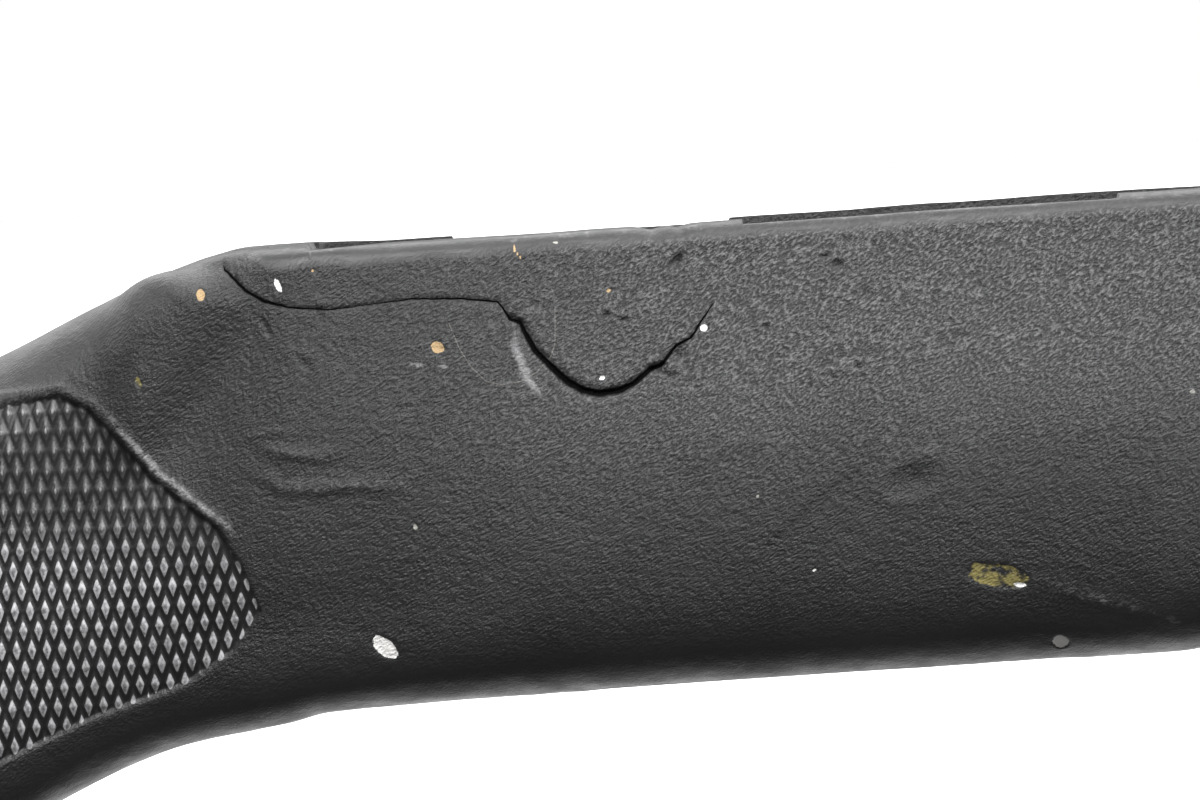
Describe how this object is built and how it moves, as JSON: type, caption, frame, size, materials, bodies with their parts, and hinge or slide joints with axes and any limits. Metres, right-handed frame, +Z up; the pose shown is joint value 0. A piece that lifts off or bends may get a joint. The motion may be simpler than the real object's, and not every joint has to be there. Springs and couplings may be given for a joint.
{
  "type": "rifle stock",
  "caption": "Bare black composite shoulder stock with checkered pistol grip, open top inlet, hinged butt plate parts and sling loops. No action or barrel.",
  "frame": {"origin": "centre of the front bedding pillar's bore at the bedding floor", "axes": "+X towards the muzzle end, +Y to the stock's left, +Z up, out of the inlet"},
  "size_m": [0.7682, 0.0502, 0.1479],
  "materials": {
    "composite": "heavy black paint over moulded composite, chipped",
    "filler": "filled and painted over",
    "foam": "rigid foam",
    "tube_plastic": "moulded",
    "pillar_metal": "turned",
    "liner_steel": "dark phosphate",
    "plate_steel": "dark phosphate, worn edges",
    "swivel_steel": "dark phosphate, worn edges",
    "ferrule_steel": "dark phosphate, worn edges",
    "screw_steel": "blued, worn slots"
  },
  "bodies": {
    "stock": {"shell_right": "composite", "shell_left": "composite", "side_patch": "filler", "butt_core": "foam", "storage_tube": "tube_plastic", "rear_pillar": "pillar_metal", "front_pillar": "pillar_metal", "inlet_liner": "liner_steel", "liner_screws": "screw_steel", "butt_plate": "plate_steel", "butt_plate_screws": "screw_steel", "shoulder_rest_pin": "screw_steel", "trap_door_pin": "screw_steel", "rear_swivel_bracket": "swivel_steel", "rear_swivel_screws": "screw_steel", "front_swivel_bracket": "swivel_steel", "front_swivel_screws": "screw_steel", "forend_ferrule": "ferrule_steel", "ferrule_screws": "screw_steel"},
    "shoulder_rest": {"shoulder_rest": "plate_steel"},
    "trap_door": {"trap_door": "plate_steel"},
    "rear_loop": {"rear_swivel_loop": "swivel_steel"},
    "front_loop": {"front_swivel_loop": "swivel_steel"}
  },
  "joints": [
    {"name": "shoulder_rest_hinge", "type": "hinge", "parent": "stock", "child": "shoulder_rest", "pos_m": [-0.47, 0, -0.007], "axis": [0, 1, 0], "range_deg": [0, 90]},
    {"name": "trap_door_hinge", "type": "hinge", "parent": "stock", "child": "trap_door", "pos_m": [-0.4694, 0, -0.0505], "axis": [0, 1, 0], "range_deg": [0, 100]},
    {"name": "rear_loop_swing", "type": "hinge", "parent": "stock", "child": "rear_loop", "pos_m": [-0.39615, 0, -0.09972], "axis": [0, 1, 0], "range_deg": [-95, 60]},
    {"name": "front_loop_swing", "type": "hinge", "parent": "stock", "child": "front_loop", "pos_m": [0.216, 0, -0.01595], "axis": [0, 1, 0], "range_deg": [-78, 78]}
  ]
}
